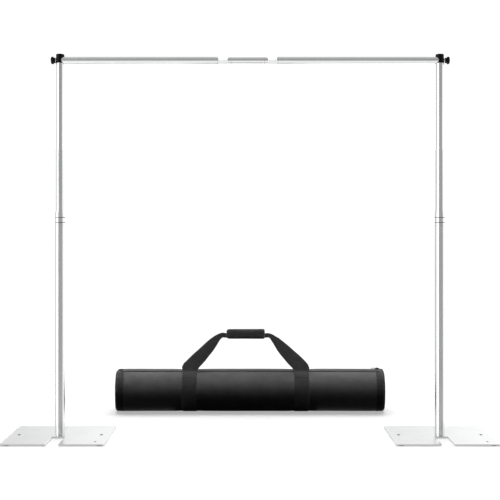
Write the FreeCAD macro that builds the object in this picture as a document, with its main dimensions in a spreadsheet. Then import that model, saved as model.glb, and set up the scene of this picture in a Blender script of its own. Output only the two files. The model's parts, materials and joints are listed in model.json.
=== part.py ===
import FreeCAD, Part
import os
import Sketcher

# A background support system: two telescoping uprights on split steel base plates, a telescoping
# crossbar between their top caps, and the carry bag that the kit packs into, lying behind it.
# Millimetres. +X to the right along the crossbar, +Y from the stand to the bag, +Z up.
# The origin is on the floor, under the middle of everything that stands on it.

SIZES = [
    # where things stand
    ("pole_spacing", 1520, "between the axes of the two poles"),
    ("stand_y", -217.6, "the plane that holds both poles and the crossbar"),
    ("bag_y", 271.4, "axis of the carry bag"),
    # base plates
    ("plate_width", 400, "both halves together"),
    ("plate_depth", 300, "front to back"),
    ("plate_thickness", 4, "steel sheet"),
    ("plate_corner", 3, "rounding of the corners"),
    ("seam_gap", 1.8, "between the two halves"),
    ("notch_width", 52, "cut-out in the front edge"),
    ("notch_depth", 122, "from the front edge to the bridge"),
    ("anchor_reach", 165, "pole axis to the floor-fixing hole"),
    ("anchor_radius", 4.5, "floor-fixing hole"),
    ("tether_x", 160, "small hole beside the front right corner"),
    ("tether_y", 110, "the same hole, forward of the pole"),
    ("tether_radius", 2.5, "the same hole"),
    ("pad_height", 4, "rubber pad under a plate"),
    ("pad_radius", 13, "rubber pad"),
    ("pad_inset", 22, "pad centre from the plate's edges"),
    ("doubler_width", 140, "strip that joins the halves from below"),
    ("doubler_depth", 48, "the same strip, front to back"),
    ("doubler_thickness", 2.8, "the same strip"),
    ("rivet_radius", 3, "rivets of the strip"),
    ("rivet_x", 48, "rivet from the pole axis"),
    ("rivet_y", 14, "rivet from the pole axis"),
    ("bolt_radius", 5, "bolt from below into the pole socket"),
    ("bolt_head_radius", 9, "its low head"),
    ("bolt_head_height", 2.4, "its low head"),
    ("bolt_length", 44, "under the head"),
    # pole socket and tubes
    ("socket_ring_radius", 18.8, "bright ring that shows under the tube"),
    ("socket_ring_height", 8, "the same ring"),
    ("socket_plug_height", 54, "the part inside the tube"),
    ("lower_radius", 20, "lower tube"),
    ("lower_wall", 1.5, "lower tube"),
    ("lower_top", 848, "top end of the lower tube"),
    ("middle_radius", 17.5, "middle tube"),
    ("middle_bottom", 340, "hidden lower end of the middle tube"),
    ("middle_top", 1148, "mouth of the middle tube"),
    ("upper_radius", 15.5, "upper tube"),
    ("upper_bottom", 716, "hidden lower end of the upper tube"),
    ("inner_wall", 1.2, "wall of the middle and upper tubes"),
    ("slip", 0.3, "radial gap between telescoping pieces"),
    ("snug", 0.05, "radial gap between pieces that stay together"),
    ("collet_depth", 58, "lock collet inside the lower tube"),
    ("collar_height", 56, "twist collar, joint line to tip"),
    ("collar_groove", 0.7, "depth of its two ring grooves"),
    ("collar_gap", 0.4, "between the collar and the lower tube"),
    ("glide_height", 10, "nylon ring under the middle tube"),
    ("glide_plug", 12, "the part of it inside the tube"),
    ("mouth_bush", 40, "nylon liner in the middle tube's mouth"),
    ("cam_height", 24, "expanding cam at the foot of a sliding tube"),
    # top corner
    ("cap_radius", 16.5, "black top cap"),
    ("cap_bottom", 1496, "top end of the upper tube"),
    ("cap_height", 36, "visible height"),
    ("cap_plug", 30, "the part inside the upper tube"),
    ("bar_height", 1507.5, "axis of the crossbar"),
    ("stud_radius", 3.85, "M8 stud of the knob"),
    ("washer_radius", 9, "washer behind the knob"),
    ("washer_thickness", 1.5, "washer behind the knob"),
    ("knob_hub_radius", 11, "neck of the knob"),
    ("knob_hub", 8, "length of the neck"),
    ("knob_radius", 15, "grip of the knob"),
    ("knob_grip", 9, "length of the grip"),
    ("flute_radius", 2.4, "finger flutes round the grip"),
    # crossbar
    ("bar_radius", 15, "outer tubes, ferrules and bushes"),
    ("bar_wall", 1, "outer tubes"),
    ("ferrule_end", 68.5, "pole axis to the end of the ferrule"),
    ("ferrule_plug", 32, "the part inside the outer tube"),
    ("insert_radius", 9, "threaded insert in the ferrule"),
    ("insert_end", 62, "pole axis to the end of the insert"),
    ("left_reach", 634, "left pole axis to the end of the left tube"),
    ("right_reach", 652, "right pole axis to the end of the right tube"),
    ("bush_head", 36, "visible white bush"),
    ("bush_plug", 30, "the part inside the outer tube"),
    ("centre_radius", 13.2, "centre tube"),
    ("centre_length", 833, "centre tube"),
    # carry bag
    ("bag_x", 2, "middle of the bag"),
    ("bag_length", 1222, "between the bulged ends"),
    ("bag_radius", 94, "filled bag"),
    ("bag_bulge", 8, "how far each end bulges"),
    ("bag_corner", 14, "rounding between the side and an end"),
    ("web_thickness", 2.2, "webbing"),
    ("web_width", 65, "webbing"),
    ("left_web_x", -273, "left webbing band"),
    ("right_web_x", 233, "right webbing band"),
    ("web_rise", 22, "sewn end of the webbing above the bag"),
    ("zip_gap", 55, "between the webbing's two ends, across the zip"),
    ("tape_thickness", 0.9, "zip tape"),
    ("tape_angle", 31, "arc of the zip tape, in degrees"),
    ("tape_length", 1180, "zip tape"),
    ("slider_x", 583, "zip slider"),
    ("slider_length", 22, "zip slider"),
    ("slider_width", 13, "zip slider"),
    ("slider_height", 3.4, "zip slider"),
    ("pull_length", 30, "pull tab"),
    ("grip_x", -20, "middle of the hand grip"),
    ("grip_z", 351, "middle of the hand grip"),
    ("grip_length", 176, "hand grip"),
    ("grip_height", 44, "hand grip"),
    ("grip_depth", 30, "hand grip"),
    ("grip_slot", 12, "room for the webbing inside the grip"),
    ("handle_z", 343.5, "middle of the webbing inside the grip"),
    ("handle_foot_z", 224, "lower ends of the free webbing"),
    ("handle_lean", 8.5, "slope of the free webbing, in degrees"),
]

FLOOR = 0
LEFT, RIGHT = -1, 1
EAST, WEST = 1, -1


class Size:
    """A number that also carries the spreadsheet expression it comes from."""

    def __init__(self, value, text):
        self.value = value
        self.text = text

    def __add__(self, other):
        other = as_size(other)
        return Size(self.value + other.value, f"({self.text} + {other.text})")

    def __sub__(self, other):
        other = as_size(other)
        return Size(self.value - other.value, f"({self.text} - {other.text})")

    def __mul__(self, other):
        other = as_size(other)
        return Size(self.value * other.value, f"({self.text} * {other.text})")

    def __truediv__(self, other):
        other = as_size(other)
        return Size(self.value / other.value, f"({self.text} / {other.text})")

    def __neg__(self):
        return self * -1

    def __radd__(self, other):
        return as_size(other) + self

    def __rsub__(self, other):
        return as_size(other) - self

    def __rmul__(self, other):
        return as_size(other) * self


def as_size(number):
    if isinstance(number, Size):
        return number
    return Size(number, f"({number})")


class Dimensions:
    """One attribute for each alias of the spreadsheet."""


# ---------------------------------------------------------------- document

doc = FreeCAD.newDocument("background_support_system")
sheet = doc.addObject("Spreadsheet::Sheet", "Sizes")
dim = Dimensions()
for row, (alias, number, meaning) in enumerate(SIZES, 1):
    sheet.set(f"A{row}", meaning)
    sheet.set(f"B{row}", str(number))
    sheet.setAlias(f"B{row}", alias)
    setattr(dim, alias, Size(number, f"Sizes.{alias}"))
doc.recompute()

nodes = []


def keep(node):
    """Marks an object as a sub-part, to be written to its own file."""
    nodes.append(node)
    return node


def bind(thing, prop, size):
    """Ties one property to the spreadsheet."""
    thing.setExpression(prop, as_size(size).text)


def put(thing, x, y, z, turn=None):
    """Places an object, its position tied to the spreadsheet. turn is (axis, degrees)."""
    rotation = FreeCAD.Rotation(*turn) if turn else FreeCAD.Rotation()
    place = FreeCAD.Vector(as_size(x).value, as_size(y).value, as_size(z).value)
    thing.Placement = FreeCAD.Placement(place, rotation)
    bind(thing, ".Placement.Base.x", x)
    bind(thing, ".Placement.Base.y", y)
    bind(thing, ".Placement.Base.z", z)


# ---------------------------------------------------------------- Part Design

def new_body(label, x, y, z, turn=None):
    body = doc.addObject("PartDesign::Body", label)
    body.Label = label
    put(body, x, y, z, turn)
    return keep(body)


def new_sketch(body, role, offset=0):
    """A sketch on one of the body's own origin planes, moved along that plane's normal."""
    sketch = body.newObject("Sketcher::SketchObject", "Sketch")
    plane = [item for item in body.Origin.OriginFeatures if item.Role == role][0]
    sketch.AttachmentSupport = (plane, [""])
    sketch.MapMode = "FlatFace"
    bind(sketch, ".AttachmentOffset.Base.z", offset)
    return sketch


def drive(sketch, constraint, size):
    """Adds a constraint whose value comes from the spreadsheet."""
    index = sketch.addConstraint(constraint)
    bind(sketch, f"Constraints[{index}]", size)


def fix_point(sketch, geometry, point, x, y):
    """Measures one point of the sketch from its origin, both ways."""
    across = Sketcher.Constraint("DistanceX", -1, 1, geometry, point, x.value)
    up = Sketcher.Constraint("DistanceY", -1, 1, geometry, point, y.value)
    drive(sketch, across, x)
    drive(sketch, up, y)


def add_circle(sketch, radius, x=0, y=0):
    x, y, radius = as_size(x), as_size(y), as_size(radius)
    centre = FreeCAD.Vector(x.value, y.value, 0)
    circle = sketch.addGeometry(Part.Circle(centre, FreeCAD.Vector(0, 0, 1), radius.value), False)
    fix_point(sketch, circle, 3, x, y)
    drive(sketch, Sketcher.Constraint("Radius", circle, radius.value), radius)


def add_outline(sketch, corners):
    """A closed outline of straight lines."""
    corners = [(as_size(x), as_size(y)) for x, y in corners]
    spots = [FreeCAD.Vector(x.value, y.value, 0) for x, y in corners]
    lines = []
    for start, end in zip(spots, spots[1:] + spots[:1]):
        lines.append(sketch.addGeometry(Part.LineSegment(start, end), False))
    for line, following in zip(lines, lines[1:] + lines[:1]):
        sketch.addConstraint(Sketcher.Constraint("Coincident", line, 2, following, 1))
    for line, (x, y) in zip(lines, corners):
        fix_point(sketch, line, 1, x, y)


def add_box(sketch, left, low, right, high):
    add_outline(sketch, [(left, low), (right, low), (right, high), (left, high)])


def add_flat_circle(sketch, radius, drop):
    """A circle about the origin whose bottom is cut off level, drop below the centre."""
    radius, drop = as_size(radius), as_size(drop)
    half = (radius.value ** 2 - drop.value ** 2) ** 0.5
    left = FreeCAD.Vector(-half, -drop.value, 0)
    right = FreeCAD.Vector(half, -drop.value, 0)
    top = FreeCAD.Vector(0, radius.value, 0)
    arc = sketch.addGeometry(Part.Arc(right, top, left), False)
    chord = sketch.addGeometry(Part.LineSegment(left, right), False)
    sketch.addConstraint(Sketcher.Constraint("Coincident", arc, 3, -1, 1))
    sketch.addConstraint(Sketcher.Constraint("Coincident", arc, 2, chord, 1))
    sketch.addConstraint(Sketcher.Constraint("Coincident", arc, 1, chord, 2))
    sketch.addConstraint(Sketcher.Constraint("Horizontal", chord))
    drive(sketch, Sketcher.Constraint("Radius", arc, radius.value), radius)
    level = Sketcher.Constraint("DistanceY", -1, 1, chord, 1, -drop.value)
    drive(sketch, level, -drop)


def set_tip(body, feature):
    body.Tip = feature
    return feature


def pad(body, sketch, length, symmetric=False):
    feature = body.newObject("PartDesign::Pad", "Pad")
    feature.Profile = sketch
    bind(feature, "Length", length)
    feature.SideType = "Symmetric" if symmetric else "One side"
    return set_tip(body, feature)


def cut_through(body, sketch):
    feature = body.newObject("PartDesign::Pocket", "Pocket")
    feature.Profile = sketch
    feature.Type = "ThroughAll"
    feature.SideType = "Symmetric"
    return set_tip(body, feature)


def revolve(body, corners, axis="V_Axis"):
    """Turns an outline on the XZ plane about one of the sketch's own axes."""
    sketch = new_sketch(body, "XZ_Plane")
    add_outline(sketch, corners)
    feature = body.newObject("PartDesign::Revolution", "Revolution")
    feature.Profile = sketch
    feature.ReferenceAxis = (sketch, [axis])
    feature.Angle = 360
    return set_tip(body, feature)


def round_edges(body, radius, chosen):
    """Fillets the edges of the body's tip for which chosen(edge) is true."""
    doc.recompute()
    before = body.Tip
    edges = enumerate(before.Shape.Edges, 1)
    names = [f"Edge{number}" for number, edge in edges if chosen(edge)]
    feature = body.newObject("PartDesign::Fillet", "Fillet")
    feature.Base = (before, names)
    bind(feature, "Radius", radius)
    return set_tip(body, feature)


def runs_along(edge, axis):
    """Whether a straight edge is parallel to the axis numbered 0, 1 or 2 of its body."""
    if not isinstance(edge.Curve, Part.Line):
        return False
    return abs(edge.Curve.Direction[axis]) > 0.999


# ---------------------------------------------------------------- shared pieces

def side_name(side, name):
    return ("left_" if side == LEFT else "right_") + name


def pole_x(side):
    return dim.pole_spacing / 2 * side


def tube(label, x, y, z, radius, wall, length, turn=None):
    body = new_body(label, x, y, z, turn)
    sketch = new_sketch(body, "XY_Plane")
    add_circle(sketch, radius)
    add_circle(sketch, radius - wall)
    pad(body, sketch, length)
    return body


def along_x(direction):
    """The turn that points a body's own +Z along +X or -X."""
    return (FreeCAD.Vector(0, 1, 0), 90 * direction)


def bar_body(label, x, direction):
    """A body on the crossbar's axis whose own +Z runs along +X or -X."""
    return new_body(label, x, dim.stand_y, dim.bar_height, along_x(direction))


def cylinders(label, side, radius, height, low, places):
    """Equal upright cylinders around one pole, as one node."""
    parts = []
    for number, (x, y) in enumerate(places, 1):
        part = doc.addObject("Part::Cylinder", f"{label}_{number}")
        bind(part, "Radius", radius)
        bind(part, "Height", height)
        put(part, pole_x(side) + x, dim.stand_y + y, low)
        parts.append(part)
    group = doc.addObject("Part::Compound", label)
    group.Label = label
    group.Links = parts
    return keep(group)


# ---------------------------------------------------------------- base

PLATE_TOP = dim.pad_height + dim.plate_thickness
RING_TOP = PLATE_TOP + dim.socket_ring_height


def build_half_plate(side, name, way):
    """One half of a split base plate. It reaches from the seam towards way in X."""
    body = new_body(side_name(side, name), pole_x(side), dim.stand_y, dim.pad_height)
    seam = dim.seam_gap / 2 * way
    end = dim.plate_width / 2 * way
    front = -dim.plate_depth / 2
    notch = dim.notch_width / 2 * way
    bridge = front + dim.notch_depth
    sheet_outline = new_sketch(body, "XY_Plane")
    add_outline(sheet_outline, [
        (seam, bridge),
        (notch, bridge),
        (notch, front),
        (end, front),
        (end, -front),
        (seam, -front),
    ])
    pad(body, sheet_outline, dim.plate_thickness)
    round_edges(body, dim.plate_corner, lambda edge: runs_along(edge, 2) and (
        abs(edge.CenterOfMass.x) > dim.plate_width.value / 2 - 1))
    holes = new_sketch(body, "XY_Plane")
    add_circle(holes, dim.bolt_radius + dim.snug)
    add_circle(holes, dim.anchor_radius, dim.anchor_reach * way)
    for y in (dim.rivet_y, -dim.rivet_y):
        add_circle(holes, dim.rivet_radius + dim.snug, dim.rivet_x * way, y)
    if way == EAST:
        add_circle(holes, dim.tether_radius, dim.tether_x, -dim.tether_y)
    cut_through(body, holes)


def build_base(side):
    build_half_plate(side, "outer_plate", side)
    build_half_plate(side, "inner_plate", -side)

    pad_x = dim.plate_width / 2 - dim.pad_inset
    pad_y = dim.plate_depth / 2 - dim.pad_inset
    corners = [(pad_x * i, pad_y * j) for i in (1, -1) for j in (1, -1)]
    cylinders(side_name(side, "rubber_pads"), side, dim.pad_radius, dim.pad_height, FLOOR, corners)

    under = dim.pad_height - dim.doubler_thickness
    doubler = new_body(side_name(side, "doubler_strip"), pole_x(side), dim.stand_y, under)
    strip = new_sketch(doubler, "XY_Plane")
    add_box(strip, -dim.doubler_width / 2, -dim.doubler_depth / 2,
            dim.doubler_width / 2, dim.doubler_depth / 2)
    add_circle(strip, dim.bolt_head_radius + dim.slip)
    rivets = [(dim.rivet_x * i, dim.rivet_y * j) for i in (1, -1) for j in (1, -1)]
    for x, y in rivets:
        add_circle(strip, dim.rivet_radius + dim.snug, x, y)
    pad(doubler, strip, dim.doubler_thickness)
    cylinders(side_name(side, "strip_rivets"), side, dim.rivet_radius,
              PLATE_TOP - under, under, rivets)

    bolt = new_body(side_name(side, "base_bolt"), pole_x(side), dim.stand_y,
                    dim.pad_height - dim.bolt_head_height)
    revolve(bolt, [
        (0, 0),
        (dim.bolt_head_radius, 0),
        (dim.bolt_head_radius, dim.bolt_head_height),
        (dim.bolt_radius, dim.bolt_head_height),
        (dim.bolt_radius, dim.bolt_head_height + dim.bolt_length),
        (0, dim.bolt_head_height + dim.bolt_length),
    ])

    socket = new_body(side_name(side, "pole_socket"), pole_x(side), dim.stand_y, PLATE_TOP)
    bore = dim.bolt_radius + dim.snug
    plug = dim.lower_radius - dim.lower_wall - dim.snug
    ring = dim.socket_ring_height
    top = ring + dim.socket_plug_height
    revolve(socket, [
        (bore, 0),
        (dim.socket_ring_radius, 0),
        (dim.socket_ring_radius, ring),
        (plug, ring),
        (plug, top - 3),
        (plug - 2, top),
        (bore, top),
    ])


# ---------------------------------------------------------------- upright

def build_lock_collar(side):
    """Nylon collet fixed in the lower tube's mouth, and the aluminium collar that turns on it."""
    outside = dim.lower_radius - dim.lower_wall - dim.snug
    inside = dim.middle_radius + dim.slip
    collet = new_body(side_name(side, "lock_collet"), pole_x(side), dim.stand_y, dim.lower_top)
    collet_top = dim.collar_height - 8
    revolve(collet, [
        (inside, -dim.collet_depth),
        (outside, -dim.collet_depth),
        (outside, collet_top - 4),
        (outside - 0.4, collet_top),
        (inside, collet_top),
    ])

    collar = new_body(side_name(side, "lock_collar"), pole_x(side), dim.stand_y, dim.lower_top)
    low = dim.collar_gap
    bore = outside + dim.slip
    outer = dim.lower_radius
    groove = outer - dim.collar_groove
    outline = [(bore, low), (outer, low)]
    for height in (10, 30):
        outline += [
            (outer, low + height - 1.2),
            (groove, low + height - 0.5),
            (groove, low + height + 0.5),
            (outer, low + height + 1.2),
        ]
    outline += [
        (outer, dim.collar_height - 9),
        (inside + 0.9, dim.collar_height),
        (inside, dim.collar_height),
        (inside, dim.collar_height - 7),
        (bore, dim.collar_height - 7),
    ]
    revolve(collar, outline)


def build_cam(label, x, y, z, mouth, tube_bore, height, plug, turn=None):
    """A nylon end piece: a ring below the tube's end and a shorter plug inside it."""
    body = new_body(label, x, y, z, turn)
    revolve(body, [
        (0, -height),
        (mouth - 0.8, -height),
        (mouth, 1.5 - height),
        (mouth, -dim.snug),
        (tube_bore, -dim.snug),
        (tube_bore, plug),
        (0, plug),
    ])


def build_upright(side):
    x, y = pole_x(side), dim.stand_y
    lower_bore = dim.lower_radius - dim.lower_wall
    middle_bore = dim.middle_radius - dim.inner_wall
    upper_bore = dim.upper_radius - dim.inner_wall
    tube(side_name(side, "lower_tube"), x, y, RING_TOP,
         dim.lower_radius, dim.lower_wall, dim.lower_top - RING_TOP)
    build_lock_collar(side)
    tube(side_name(side, "middle_tube"), x, y, dim.middle_bottom,
         dim.middle_radius, dim.inner_wall, dim.middle_top - dim.middle_bottom)
    build_cam(side_name(side, "middle_glide"), x, y, dim.middle_bottom,
              lower_bore - dim.slip, middle_bore - dim.snug, dim.glide_height, dim.glide_plug)
    tube(side_name(side, "mouth_bush"), x, y, dim.middle_top - dim.mouth_bush,
         middle_bore - dim.snug, middle_bore - dim.snug - dim.upper_radius - dim.slip,
         dim.mouth_bush)
    tube(side_name(side, "upper_tube"), x, y, dim.upper_bottom,
         dim.upper_radius, dim.inner_wall, dim.cap_bottom - dim.upper_bottom)
    build_cam(side_name(side, "upper_cam"), x, y, dim.upper_bottom,
              middle_bore - dim.slip, upper_bore - dim.snug, dim.cam_height, dim.cam_height)


# ---------------------------------------------------------------- top corner

def build_cap(side):
    body = new_body(side_name(side, "top_cap"), pole_x(side), dim.stand_y, dim.cap_bottom)
    plug = dim.upper_radius - dim.inner_wall - dim.snug
    revolve(body, [
        (0, -dim.cap_plug),
        (plug, -dim.cap_plug),
        (plug, 0),
        (dim.cap_radius, 0),
        (dim.cap_radius, dim.cap_height - 2),
        (dim.cap_radius - 0.6, dim.cap_height - 0.6),
        (dim.cap_radius - 2, dim.cap_height),
        (0, dim.cap_height),
    ])
    cross_hole = new_sketch(body, "YZ_Plane")
    add_circle(cross_hole, dim.stud_radius + dim.slip, 0, dim.bar_height - dim.cap_bottom)
    cut_through(body, cross_hole)


def build_knob(side, backed_off):
    """Washer, knob and stud outside the cap. backed_off is how far the knob is unscrewed."""
    outward = side
    face = dim.cap_radius + dim.snug
    tube(side_name(side, "knob_washer"), pole_x(side) + face * outward, dim.stand_y,
         dim.bar_height, dim.washer_radius,
         dim.washer_radius - dim.stud_radius - dim.slip,
         dim.washer_thickness, along_x(outward))

    start = face + dim.washer_thickness + dim.slip + backed_off
    knob = bar_body(side_name(side, "knob"), pole_x(side) + start * outward, outward)
    seat = dim.stud_radius + dim.snug
    depth = dim.knob_hub + dim.knob_grip / 2
    length = dim.knob_hub + dim.knob_grip
    revolve(knob, [
        (seat, 0),
        (dim.knob_hub_radius - 0.8, 0),
        (dim.knob_hub_radius, 0.8),
        (dim.knob_hub_radius, dim.knob_hub - 1),
        (dim.knob_radius - 1.2, dim.knob_hub),
        (dim.knob_radius, dim.knob_hub + 1.2),
        (dim.knob_radius, length - 1.8),
        (dim.knob_radius - 1.8, length),
        (0, length),
        (0, depth),
        (seat, depth),
    ])
    flute = new_sketch(knob, "XY_Plane", dim.knob_hub)
    add_circle(flute, dim.flute_radius, dim.knob_radius + dim.flute_radius * 0.62)
    groove = knob.newObject("PartDesign::Pocket", "Pocket")
    groove.Profile = flute
    groove.Reversed = True
    bind(groove, "Length", dim.knob_grip + 1)
    ring = knob.newObject("PartDesign::PolarPattern", "PolarPattern")
    ring.Originals = [groove]
    ring.Axis = (flute, ["N_Axis"])
    ring.Angle = 360
    ring.Occurrences = 12
    set_tip(knob, ring)

    inner_end = dim.insert_end - 10
    stud = bar_body(side_name(side, "knob_stud"), pole_x(side) - inner_end * outward, outward)
    rod = new_sketch(stud, "XY_Plane")
    add_circle(rod, dim.stud_radius)
    pad(stud, rod, inner_end + start + depth - dim.snug)


def build_bar_end(side):
    """The ferrule that is notched to hug the cap, with a threaded insert inside it."""
    inward = -side
    ferrule = bar_body(side_name(side, "bar_ferrule"), pole_x(side), inward)
    bore = dim.insert_radius + dim.snug
    outer = dim.bar_radius
    plug = outer - dim.bar_wall - dim.snug
    end = dim.ferrule_end
    outline = [(bore, 6), (outer, 6)]
    for distance in (22, 34):
        middle = dim.cap_radius + distance
        outline += [
            (outer, middle - 1.2),
            (outer - 0.8, middle - 0.6),
            (outer - 0.8, middle + 0.6),
            (outer, middle + 1.2),
        ]
    outline += [
        (outer, end),
        (plug, end),
        (plug, end + dim.ferrule_plug),
        (bore, end + dim.ferrule_plug),
    ]
    revolve(ferrule, outline)
    saddle = new_sketch(ferrule, "YZ_Plane")
    add_circle(saddle, dim.cap_radius + dim.snug)
    cut_through(ferrule, saddle)

    start = dim.cap_radius + 1.5
    tube(side_name(side, "bar_insert"), pole_x(side) + start * inward, dim.stand_y,
         dim.bar_height, dim.insert_radius, dim.insert_radius - dim.stud_radius - dim.slip,
         dim.insert_end - start, along_x(inward))


# ---------------------------------------------------------------- crossbar

def build_bar(side, reach):
    """Outer tube and the white bush in its mouth."""
    inward = -side
    tube(side_name(side, "bar_tube"), pole_x(side) + dim.ferrule_end * inward, dim.stand_y,
         dim.bar_height, dim.bar_radius, dim.bar_wall, reach - dim.ferrule_end, along_x(inward))
    bush = bar_body(side_name(side, "bar_bush"), pole_x(side) + reach * inward, inward)
    bore = dim.centre_radius + dim.slip
    plug = dim.bar_radius - dim.bar_wall - dim.snug
    revolve(bush, [
        (bore, -dim.bush_plug),
        (plug, -dim.bush_plug),
        (plug, 0),
        (dim.bar_radius, 0),
        (dim.bar_radius, dim.bush_head - 0.8),
        (dim.bar_radius - 0.8, dim.bush_head),
        (bore, dim.bush_head),
    ])


def build_centre_tube():
    """The tube that slides in both outer tubes, and the expanding cams at its ends."""
    middle = (dim.left_reach - dim.right_reach) / 2
    start = middle - dim.centre_length / 2
    end = middle + dim.centre_length / 2
    tube("bar_centre_tube", start, dim.stand_y, dim.bar_height,
         dim.centre_radius, dim.inner_wall, dim.centre_length, along_x(EAST))
    mouth = dim.bar_radius - dim.bar_wall - dim.slip
    plug = dim.centre_radius - dim.inner_wall - dim.slip
    for label, x, inward in (("left_bar_cam", start, EAST), ("right_bar_cam", end, WEST)):
        build_cam(label, x - dim.slip * inward, dim.stand_y, dim.bar_height,
                  mouth, plug, dim.cam_height, dim.cam_height, along_x(inward))


# ---------------------------------------------------------------- carry bag

BAG_Z = dim.bag_radius
BAG_DROP = dim.bag_radius - dim.web_thickness


def build_bag_shell():
    """The filled bag: a body of revolution about its own X axis, resting on a flat strip."""
    body = new_body("bag_shell", dim.bag_x, dim.bag_y, BAG_Z)
    half = dim.bag_length / 2
    side_end = half - dim.bag_bulge
    revolve(body, [
        (-half, 0),
        (-half, dim.bag_radius * 0.45),
        (-side_end, dim.bag_radius),
        (side_end, dim.bag_radius),
        (half, dim.bag_radius * 0.45),
        (half, 0),
    ], "H_Axis")
    edge_x = side_end.value
    round_edges(body, dim.bag_corner, lambda edge: abs(abs(edge.CenterOfMass.x) - edge_x) < 1
                and isinstance(edge.Curve, Part.Circle))
    floor_cut = new_sketch(body, "YZ_Plane")
    add_box(floor_cut, -dim.bag_radius, -dim.bag_radius * 2, dim.bag_radius, -BAG_DROP)
    cut_through(body, floor_cut)


def build_zip():
    """Zip tape along the top, its slider, and the pull tab on the slider's lug."""
    radii = (dim.bag_radius + dim.tape_thickness, dim.bag_radius)
    parts = []
    for name, radius in zip(("tape_outside", "tape_inside"), radii):
        part = doc.addObject("Part::Cylinder", name)
        bind(part, "Radius", radius)
        bind(part, "Height", dim.tape_length)
        bind(part, "Angle", dim.tape_angle)
        put(part, dim.bag_x - dim.tape_length / 2, dim.bag_y, BAG_Z)
        upright = FreeCAD.Rotation(FreeCAD.Vector(0, 1, 0), 90)
        centred = FreeCAD.Rotation(FreeCAD.Vector(0, 0, 1), 180 - dim.tape_angle.value / 2)
        part.Placement.Rotation = upright.multiply(centred)
        parts.append(part)
    tape = doc.addObject("Part::Cut", "bag_zip_tape")
    tape.Base, tape.Tool = parts
    tape.Label = "bag_zip_tape"
    keep(tape)

    base_z = BAG_Z + dim.bag_radius + dim.tape_thickness + dim.slip
    slider = new_body("bag_zip_slider", dim.slider_x, dim.bag_y, base_z)
    half, width = dim.slider_length / 2, dim.slider_width / 2
    outline = new_sketch(slider, "XY_Plane")
    add_outline(outline, [
        (-half, -width * 0.6), (half * 0.3, -width), (half, -width * 0.5),
        (half, width * 0.5), (half * 0.3, width), (-half, width * 0.6),
    ])
    pad(slider, outline, dim.slider_height)
    lug = new_sketch(slider, "XZ_Plane")
    add_box(lug, -5, dim.slider_height - 1, 5, dim.slider_height + 4)
    pad(slider, lug, 4, symmetric=True)
    eye = new_sketch(slider, "XZ_Plane")
    add_circle(eye, 1.6, 0, dim.slider_height + 1.8)
    cut_through(slider, eye)

    pull = new_body("bag_zip_pull", dim.slider_x, dim.bag_y, base_z + dim.slider_height + 1.8)
    tab = new_sketch(pull, "XY_Plane")
    add_outline(tab, [
        (1.5, -4.6), (1.5, -2.6), (-6, -2.6), (-6, 2.6), (1.5, 2.6), (1.5, 4.6),
        (4 - dim.pull_length, 4.6), (-dim.pull_length, 2.2),
        (-dim.pull_length, -2.2), (4 - dim.pull_length, -4.6),
    ])
    pad(pull, tab, 1.8, symmetric=True)
    pin = new_sketch(pull, "XZ_Plane")
    add_circle(pin, 1.1)
    pad(pull, pin, 6, symmetric=True)


def build_web(label, x):
    """A webbing band sewn round the bag, open at the zip, with its two ends standing up."""
    body = new_body(label, x, dim.bag_y, BAG_Z)
    around = new_sketch(body, "YZ_Plane")
    add_flat_circle(around, dim.bag_radius + dim.web_thickness, dim.bag_radius)
    pad(body, around, dim.web_width, symmetric=True)
    hollow = new_sketch(body, "YZ_Plane")
    add_flat_circle(hollow, dim.bag_radius, BAG_DROP)
    cut_through(body, hollow)
    opening = new_sketch(body, "YZ_Plane")
    half = dim.zip_gap / 2
    add_box(opening, -half, dim.bag_radius / 2, half, dim.bag_radius + 10)
    cut_through(body, opening)
    root = dim.bag_radius * 0.958
    for way in (1, -1):
        upright = new_sketch(body, "YZ_Plane")
        add_box(upright, half * way, root, (half + dim.web_thickness) * way,
                dim.bag_radius + dim.web_rise)
        pad(body, upright, dim.web_width, symmetric=True)


def handle_edges(web_x, outward):
    """Outer and inner edge of the free webbing on one side of the grip, from its foot upwards."""
    web = web_x - dim.grip_x
    foot = dim.handle_foot_z - dim.handle_z
    grip_end = (dim.grip_length / 2 + 4) * outward
    neck = (dim.grip_length / 2 + 19) * outward
    outer = [
        (web + 17 * outward, foot),
        (web - 85 * outward, -23),
        (neck, 12),
        (grip_end, 10),
    ]
    inner = [
        (web - 68 * outward, foot),
        (web - 111 * outward, -64),
        (neck, -8),
        (grip_end, -10),
    ]
    return outer, inner


def build_handle_webbing(label, way):
    """The free webbing on the front or back of the bag, from one foot through the grip to the other."""
    turn = (FreeCAD.Vector(1, 0, 0), dim.handle_lean.value * way)
    gap = dim.web_thickness / 2 + 1.8
    body = new_body(label, dim.grip_x, dim.bag_y + gap * way, dim.handle_z, turn)
    left_outer, left_inner = handle_edges(dim.left_web_x, LEFT)
    right_outer, right_inner = handle_edges(dim.right_web_x, RIGHT)
    ribbon = new_sketch(body, "XZ_Plane")
    add_outline(ribbon, left_outer + right_outer[::-1] + right_inner + left_inner[::-1])
    pad(body, ribbon, dim.web_thickness, symmetric=True)


def build_grip():
    body = new_body("bag_grip", dim.grip_x, dim.bag_y, dim.grip_z)
    block = new_sketch(body, "YZ_Plane")
    width, height = dim.grip_depth / 2, dim.grip_height / 2
    add_box(block, -width, -height, width, height)
    pad(body, block, dim.grip_length, symmetric=True)
    round_edges(body, 11, lambda edge: runs_along(edge, 0))
    slot = new_sketch(body, "YZ_Plane")
    middle = dim.handle_z - dim.grip_z
    add_box(slot, -dim.grip_slot / 2, middle - 11.5, dim.grip_slot / 2, middle + 11.5)
    cut_through(body, slot)


# ---------------------------------------------------------------- assembly

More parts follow.
